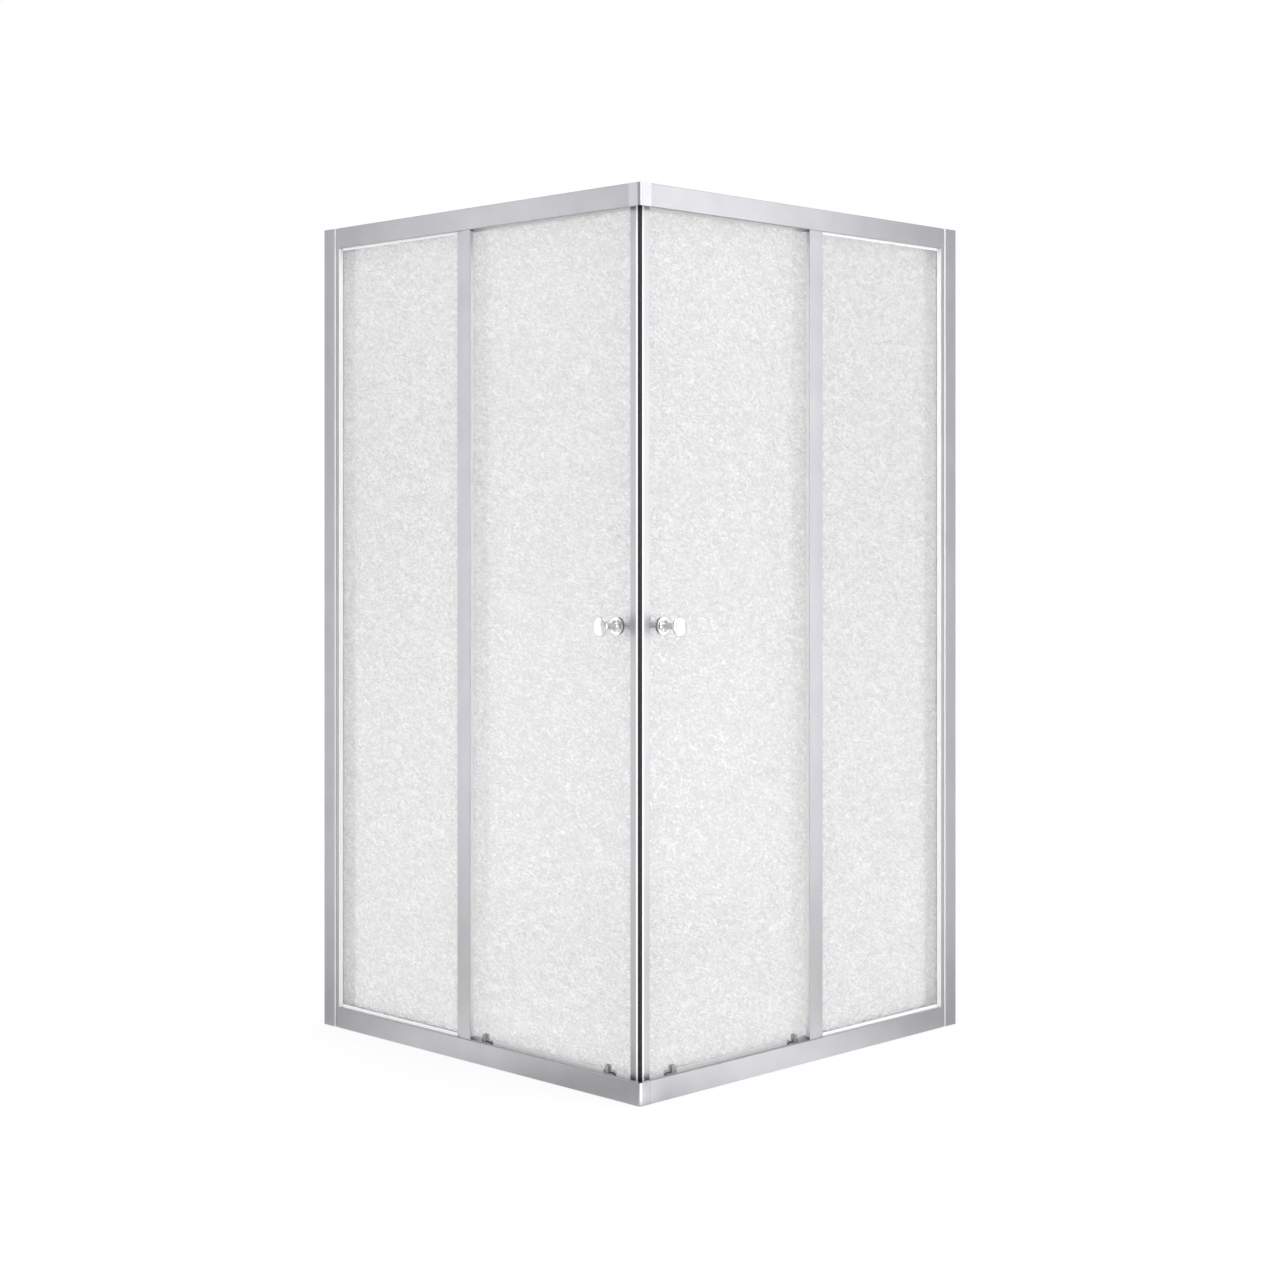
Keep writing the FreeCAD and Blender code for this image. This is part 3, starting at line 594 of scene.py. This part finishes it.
# Where a clip starts and ends along its side
def clipSpan(side, place):
    plunger = sideRanges(side, place + "_release_plunger")[0][0]
    middle = sum(plunger) / 2
    tab = clip["tabHalf"] * millimetre
    return middle - tab - clip["reach"] * millimetre, middle + tab + clip["heel"] * millimetre


def layClips(side):
    face = sideRanges(side, "door_glass")[0][1][0] - trim["gap"] * millimetre
    for place in ("lead", "trail"):
        near, far = [length / millimetre for length in clipSpan(side, place)]
        tabFar = far - clip["heel"]
        tabNear = tabFar - 2 * clip["tabHalf"]
        outline = [(far, clip["foot"]), (far, clip["shoulder"]), (tabFar, clip["shoulder"]),
                   (tabFar, clip["tabTop"]), (tabNear, clip["tabTop"]), (tabNear, clip["shoulder"]),
                   (near + clip["slope"], clip["shoulder"]), (near, clip["foot"])]
        shape = bmesh.new()
        rim = [shape.verts.new((along * millimetre, face, height * millimetre))
               for along, height in outline]
        shape.faces.new(rim)
        bmesh.ops.bevel(shape, geom=rim, offset=clip["round"] * millimetre,
                        segments=clip["roundSteps"], profile=rounding["profile"],
                        affect="VERTICES", material=-1)
        raised = bmesh.ops.extrude_face_region(shape, geom=list(shape.faces))["geom"]
        moved = [item for item in raised if isinstance(item, bmesh.types.BMVert)]
        bmesh.ops.translate(shape, vec=(0, -clip["thickness"] * millimetre, 0), verts=moved)
        placeOnSide(side, shape)
        finishPiece(shape, side + "_" + place + "_roller_clip", None, side + "_door", "grey_nylon")


def layTrim(side):
    size = {name: value * millimetre for name, value in trim.items() if isinstance(value, float)}
    gap, inset = size["gap"], size["inset"]
    doorPane, fixedPane = sideRanges(side, "door_glass")[0], sideRanges(side, "fixed_glass")[0]
    post, jamb, profile = [sideRanges(side, name)[0] for name in ("post", "jamb", "wall_profile")]
    foot = sideRanges(side, "bottom_rail")[0][2][1] + gap
    head = sideRanges(side, "top_rail")[-1][2][0] - gap

    # The strips lie on the outer faces of the panes
    onDoor = (doorPane[1][0] - gap - size["strip"], doorPane[1][0] - gap)
    onFixed = (fixedPane[1][0] - gap - size["strip"], fixedPane[1][0] - gap)
    doorFoot, doorTop = [[height * millimetre for height in trim[name]] for name in ("doorFoot", "doorTop")]
    seals = sideRanges(side, "door_glass_seals")
    start, stop = seals[0][0][1] + inset, seals[-1][0][0] - inset
    layBars(side, "door_top_strip", [((start, stop), onDoor, doorTop)], side + "_door")
    bars = []
    for place in ("lead", "trail"):
        near, far = clipSpan(side, place)
        bars.append(((start, near - size["clipGap"]), onDoor, doorFoot))
        start = far + size["clipGap"]
    bars.append(((start, stop), onDoor, doorFoot))
    layBars(side, "door_foot_strip", bars, side + "_door")
    beside = (jamb[0][0] - gap - size["bead"], jamb[0][0] - gap)
    span = (post[0][1] + inset, beside[1] - size["beadLip"] - inset)
    layBars(side, "fixed_foot_strip", [(span, onFixed, (foot, foot + size["fixedRise"]))], "frame")
    layBars(side, "fixed_top_strip", [(span, onFixed, (head - size["fixedDrop"], head))], "frame")

    # The beads stand against the jamb, outside and inside the pane, and against the wall profile
    onEdge = (fixedPane[1][0] - gap - size["bead"], fixedPane[1][0] - gap)
    outer = (jamb[1][0] + size["beadSetback"], onEdge[0] - gap)
    inner = (fixedPane[1][1] + gap, jamb[1][1] - size["coverSetback"])
    lip = (beside[1] - size["beadLip"], beside[1])
    layBars(side, "jamb_beads", [(beside, outer, (foot, head)), (lip, onEdge, (foot, head)),
                                 (beside, inner, (foot, head))], "frame")
    wide, deep = [length * millimetre for length in trim["edgeBead"]]
    edge = ((profile[0][0] - gap - wide, profile[0][0] - gap), (jamb[1][0] - gap - deep, jamb[1][0] - gap),
            (jamb[2][0] + size["edgeBeadEnd"], jamb[2][1] - size["edgeBeadEnd"]))
    layBars(side, "wall_profile_bead", [edge], "frame")

    # The seal has a flange under the lip of the post, and a web from its far edge to the door's glass
    underLip = post[1][0] + size["lip"] + gap
    near = post[0][0] + size["lipSetback"]
    flange = ((near, near + size["sealReach"]), (underLip, underLip + size["sealFlange"]), (foot, head))
    far = flange[0][1]
    web = ((far - size["sealWeb"], far), (flange[1][1] + gap, doorPane[1][0] - size["sealGap"]),
           (foot, head))
    layBars(side, "post_lip_seal", [flange, web], "frame")


# A thin lip of rubber on the left magnet closes the slit between the two magnets, along the diagonal
def layMagnetLip():
    along, inwards, upwards = sideRanges("left", "magnet_strip")[0]
    size = [length * millimetre for length in magnetLip["size"]]
    middle = inwards[1] - magnetLip["setback"] * millimetre
    shape = bmesh.new()
    bmesh.ops.create_cube(shape, size=1.0)
    bmesh.ops.scale(shape, vec=(*size, upwards[1] - upwards[0]), verts=shape.verts)
    roundEdges(shape, shape.edges, min(size))
    bmesh.ops.rotate(shape, matrix=Matrix.Rotation(math.radians(45), 3, "Z"), verts=shape.verts)
    bmesh.ops.translate(shape, vec=(corner - middle, middle - corner, sum(upwards) / 2), verts=shape.verts)
    finishPiece(shape, "magnet_lip", None, "left_door", "black_rubber")


for side in ("left", "right"):
    layTrim(side)
    layClips(side)
layMagnetLip()
print("trim laid")

# The floor is plain white to the camera, with a faint shadow near the enclosure. What metal and glass
# reflect of it has painted shade under and around the enclosure, and painted pools of light that put
# painted highlights on the bottom rails and at the foot of the corner; what shows through the glass is
# evenly bright
floorLook = {
    "size": 40.0, "squares": 8, "drop": 1.0, "colour": "#f4f4f4", "roughness": 0.9,
    "shadowShare": 0.22, "fadeStart": 0.8, "fadeEnd": 3.0,
    "metalPaintedShadeTones": (0.62, 0.94), "glassTones": (1.08, 1.07), "nearReach": 0.5, "farReach": 1.9,
    # Painted pools of light: spots that glow only in reflections, as painted highlights on the bottom rails
    # and at the foot of the corner
    "paintedLightPools": (
        {"place": (-0.14, -0.64), "reach": 0.50, "tone": 0.8},
        {"place": (0.62, -0.04), "reach": 0.62, "tone": 1.1},
        {"place": (-0.30, -1.25), "reach": 0.80, "tone": 0.35},
        {"place": (1.15, 0.30), "reach": 0.80, "tone": 0.35},
        {"place": (0.57, -0.46), "reach": 0.15, "tone": 4.5},
    ),
}


# How far a point is from a spot on the floor, as a value that goes from one tone to another
def toneByReach(tree, place, spot, reaches, tones):
    offset = addNode(tree, "ShaderNodeVectorMath", {"operation": "DISTANCE"})
    tree.links.new(place, offset.inputs[0])
    offset.inputs[1].default_value = (*spot, 0)
    return addNode(tree, "ShaderNodeMapRange", {"interpolation_type": "SMOOTHSTEP"}, {
        "Value": offset.outputs["Value"], "From Min": reaches[0], "From Max": reaches[1],
        "To Min": tones[0], "To Max": tones[1]}).outputs["Result"]


def layFloor():
    shape = bmesh.new()
    bmesh.ops.create_grid(shape, x_segments=floorLook["squares"], y_segments=floorLook["squares"],
                          size=floorLook["size"] / 2)
    bmesh.ops.translate(shape, vec=(0, 0, -floorLook["drop"] * millimetre), verts=shape.verts)
    data = bpy.data.meshes.new("floor")
    shape.to_mesh(data)
    shape.free()
    floor = bpy.data.objects.new("floor", data)
    scene.collection.objects.link(floor)
    material, tree, surface, place = startFinish("matt white floor", {
        "Base Color": linear(floorLook["colour"]), "Roughness": floorLook["roughness"]})
    path = addNode(tree, "ShaderNodeLightPath").outputs
    camera = path["Is Camera Ray"]
    mirrored = makeMaths(tree, "MAXIMUM", path["Is Glossy Ray"], path["Is Transmission Ray"])
    reaches = (floorLook["nearReach"], floorLook["farReach"])
    # Painted shade: what metal reflects of the floor is darker near the enclosure, and the painted pools of
    # light are added on top
    tone = toneByReach(tree, place, (0, 0), reaches, floorLook["metalPaintedShadeTones"])
    for paintedPool in floorLook["paintedLightPools"]:
        paintedGlow = toneByReach(tree, place, paintedPool["place"], (0, paintedPool["reach"]), (paintedPool["tone"], 0))
        tone = makeMaths(tree, "ADD", tone, paintedGlow)
    # A ray that has gone through the glass counts as glossy too, so it is taken off here
    onlyMetal = makeMaths(tree, "SUBTRACT", path["Is Glossy Ray"], path["Is Transmission Ray"])
    tone = makeMaths(tree, "MULTIPLY", tone, onlyMetal)
    behind = toneByReach(tree, place, (0, 0), reaches, floorLook["glassTones"])
    behind = makeMaths(tree, "MULTIPLY", behind, path["Is Transmission Ray"])
    tone = makeMaths(tree, "ADD", makeMaths(tree, "MAXIMUM", tone, behind), camera)
    plain = toneByReach(tree, place, (0, 0), (floorLook["fadeStart"], floorLook["fadeEnd"]),
                        (1 - floorLook["shadowShare"], 1))
    share = makeMaths(tree, "ADD", makeMaths(tree, "MULTIPLY", plain, camera), mirrored)
    shine = addNode(tree, "ShaderNodeEmission", None, {"Color": (1, 1, 1, 1), "Strength": tone})
    showInstead(tree, mixShaders(tree, share, surface.outputs["BSDF"], shine.outputs["Emission"]))
    data.materials.append(material)


layFloor()

# The room is plain white to the camera and lights matt surfaces evenly. What metal and glass see of it
# is white at eye level and darker towards the ceiling
room = {
    "ambient": "#f5f5f7", "ambientStrength": 1.05,
    "onMetal": ((-0.02, "#dededf"), (0.32, "#d4d4d7"), (1.0, "#c4c4c9")),
    "throughGlass": ((-0.10, "#f9f9f9"), (0.28, "#ffffff"), (1.0, "#dcdcdc")),
}


# A background whose tone changes with the height of the direction, from -1 straight down to 1 up
def tonedRoom(tree, height, tones):
    ramp = addNode(tree, "ShaderNodeValToRGB", None, {"Fac": height})
    ramp.color_ramp.elements.new(0.5)
    for stop, (level, colour) in zip(ramp.color_ramp.elements, tones):
        stop.position = (level + 1) / 2
        stop.color = linear(colour)
    return addNode(tree, "ShaderNodeBackground", None, {
        "Color": ramp.outputs["Color"], "Strength": 1.0}).outputs["Background"]


def buildRoom():
    world = bpy.data.worlds.new("studio")
    scene.world = world
    world.use_nodes = True
    tree = world.node_tree
    tree.nodes.clear()
    path = addNode(tree, "ShaderNodeLightPath").outputs
    direction = addNode(tree, "ShaderNodeTexCoord").outputs["Generated"]
    upwards = addNode(tree, "ShaderNodeSeparateXYZ", None, {"Vector": direction}).outputs["Z"]
    height = addNode(tree, "ShaderNodeMapRange", None, {
        "Value": upwards, "From Min": -1.0, "From Max": 1.0,
        "To Min": 0.0, "To Max": 1.0}).outputs["Result"]
    shown = addNode(tree, "ShaderNodeBackground", None, {
        "Color": linear(room["ambient"]), "Strength": room["ambientStrength"]}).outputs["Background"]
    shown = mixShaders(tree, path["Is Glossy Ray"], shown, tonedRoom(tree, height, room["onMetal"]))
    shown = mixShaders(tree, path["Is Transmission Ray"], shown,
                       tonedRoom(tree, height, room["throughGlass"]))
    white = addNode(tree, "ShaderNodeBackground", None, {"Color": (1, 1, 1, 1), "Strength": 1.0})
    shown = mixShaders(tree, path["Is Camera Ray"], shown, white.outputs["Background"])
    addNode(tree, "ShaderNodeOutputWorld", None, {"Surface": shown})


buildRoom()

# Two upright soft boxes put the bright bands on the profiles of the two sides, and a wide one above
# lights the whole
softBoxes = {
    "left soft box": {
        "place": (-1.05, -1.60, 1.05), "aim": (0.0, -0.44, 0.85), "size": (0.60, 2.1), "power": 5.5},
    "right soft box": {
        "place": (1.65, 0.85, 1.05), "aim": (0.44, -0.1, 0.85), "size": (0.70, 2.1), "power": 9.0},
    "top soft box": {
        "place": (0.9, -0.9, 3.6), "aim": (0.0, 0.0, 0.6), "size": (2.4, 2.4), "power": 40.0},
    "corner light": {
        "place": (3.2, -0.45, 1.0), "aim": (0.44, -0.44, 0.9), "size": (1.5, 2.4), "power": 78.0,
        "mirroredOnly": True},
}


def hangSoftBoxes():
    for name, box in softBoxes.items():
        lamp = bpy.data.lights.new(name, "AREA")
        lamp.shape = "RECTANGLE"
        lamp.size, lamp.size_y = box["size"]
        lamp.energy = box["power"]
        holder = bpy.data.objects.new(name, lamp)
        scene.collection.objects.link(holder)
        aim = Vector(box["place"]) - Vector(box["aim"])
        holder.rotation_euler = aim.to_track_quat("Z", "Y").to_euler()
        holder.location = box["place"]
        holder.visible_diffuse = not box.get("mirroredOnly", False)


hangSoftBoxes()
print("studio lit")

# The photograph's view: level, a metre up, straight at the corner
view = {
    "distance": 3.1381, "height": 1.0068, "turn": 45.0, "lens": 62.07, "sensor": 36.0, "shift": -0.0902,
}


def setCamera():
    lens = bpy.data.cameras.new("camera")
    lens.lens = view["lens"]
    lens.sensor_width = view["sensor"]
    lens.shift_y = view["shift"]
    camera = bpy.data.objects.new("camera", lens)
    scene.collection.objects.link(camera)
    camera.location = (view["distance"], -view["distance"], view["height"])
    camera.rotation_euler = (math.radians(90), 0, math.radians(view["turn"]))
    scene.camera = camera


setCamera()
print("camera set")
